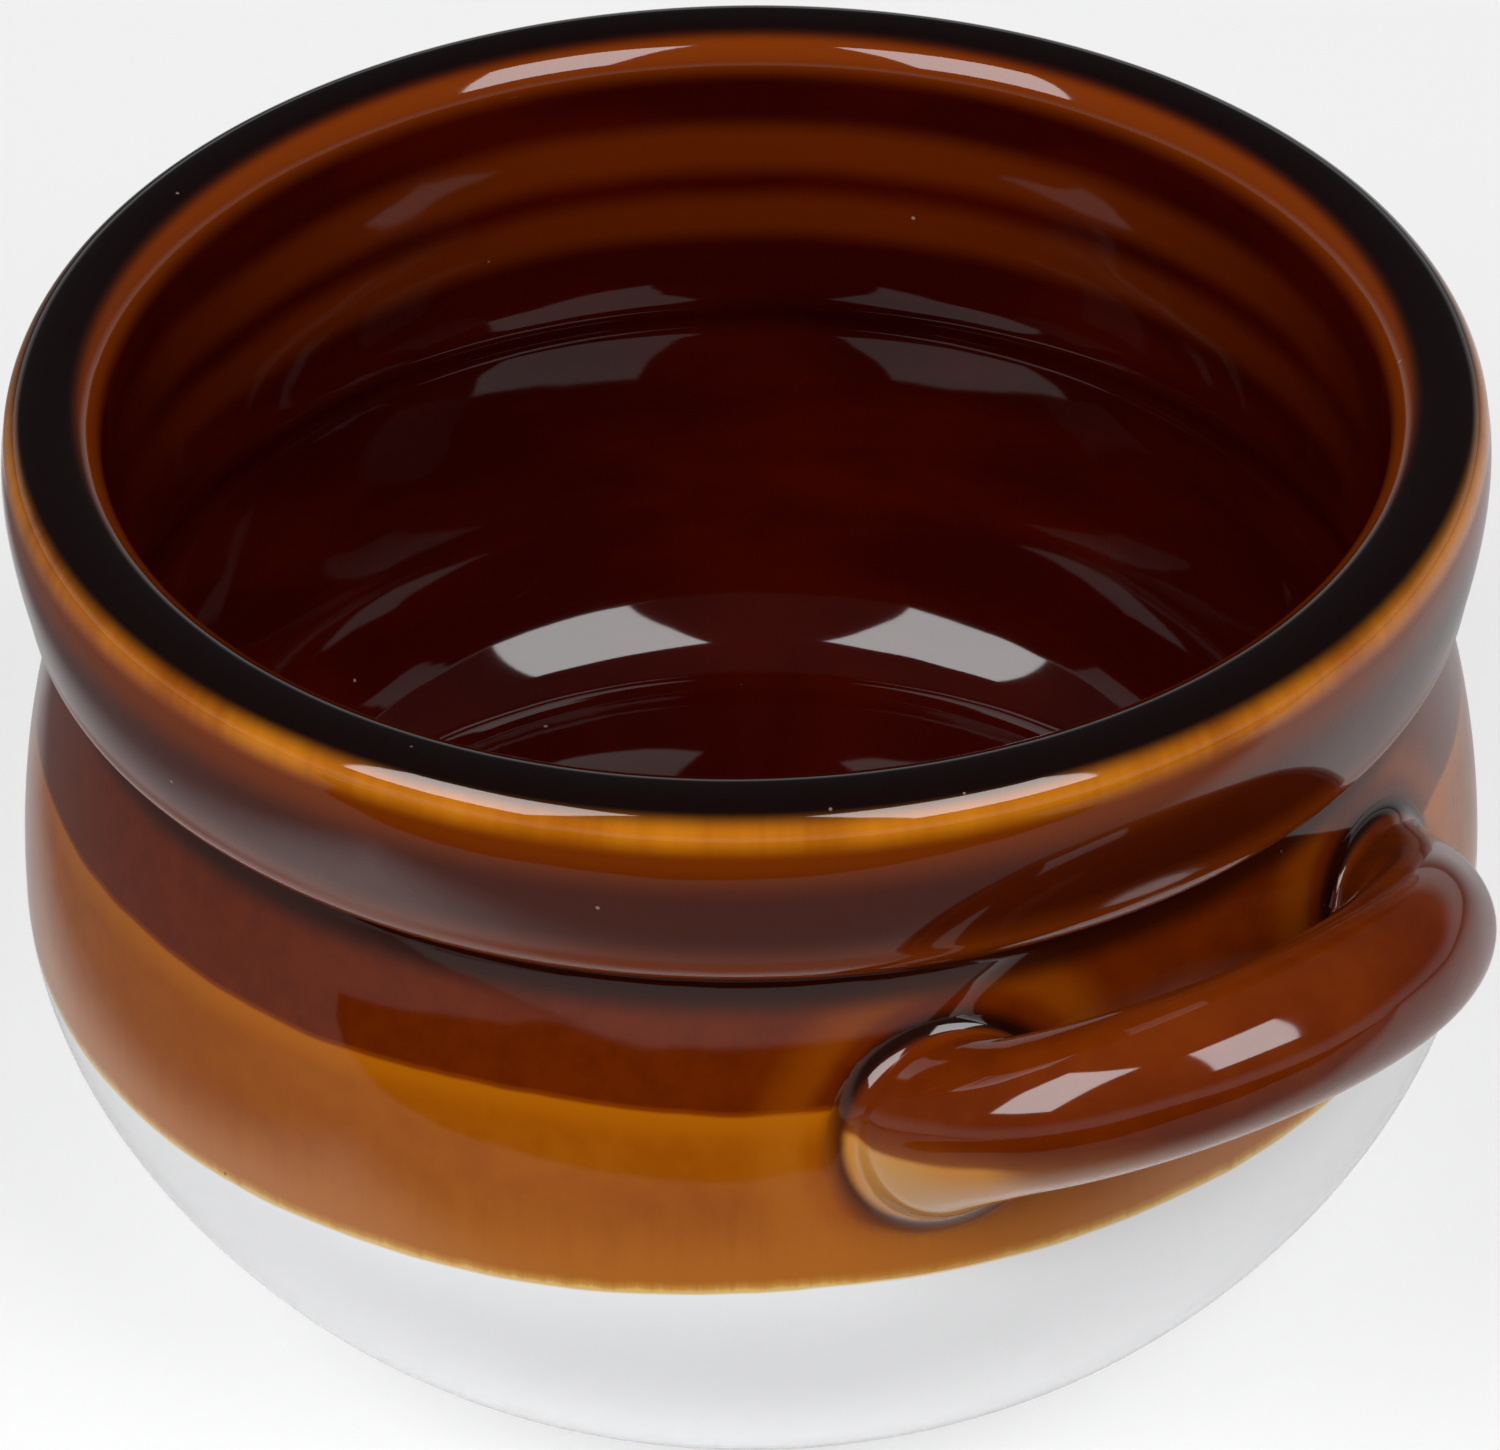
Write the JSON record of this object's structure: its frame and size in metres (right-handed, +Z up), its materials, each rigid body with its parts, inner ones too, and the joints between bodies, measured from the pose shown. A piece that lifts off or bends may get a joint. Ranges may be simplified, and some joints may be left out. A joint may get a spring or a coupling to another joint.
{
  "type": "onion soup crock",
  "caption": "Round-bellied stoneware soup crock with a rolled collar rim, a loop handle and a two-tone brown and white glaze.",
  "frame": {"origin": "centre of the foot ring's resting circle, on the turning axis", "axes": "+Z up the turning axis, +X through the middle of the loop handle"},
  "size_m": [0.1298, 0.1146, 0.0775],
  "materials": {
    "stoneware": "dry fired buff stoneware",
    "white_glaze": "gloss",
    "amber_glaze": "gloss",
    "brown_glaze": "gloss",
    "liner_glaze": "gloss",
    "handle_glaze": "gloss"
  },
  "bodies": {
    "root": {"bowl": "stoneware", "handle": "stoneware", "base_glaze": "white_glaze", "amber_glaze": "amber_glaze", "brown_glaze": "brown_glaze", "liner_glaze": "liner_glaze", "handle_glaze": "handle_glaze"}
  },
  "joints": []
}
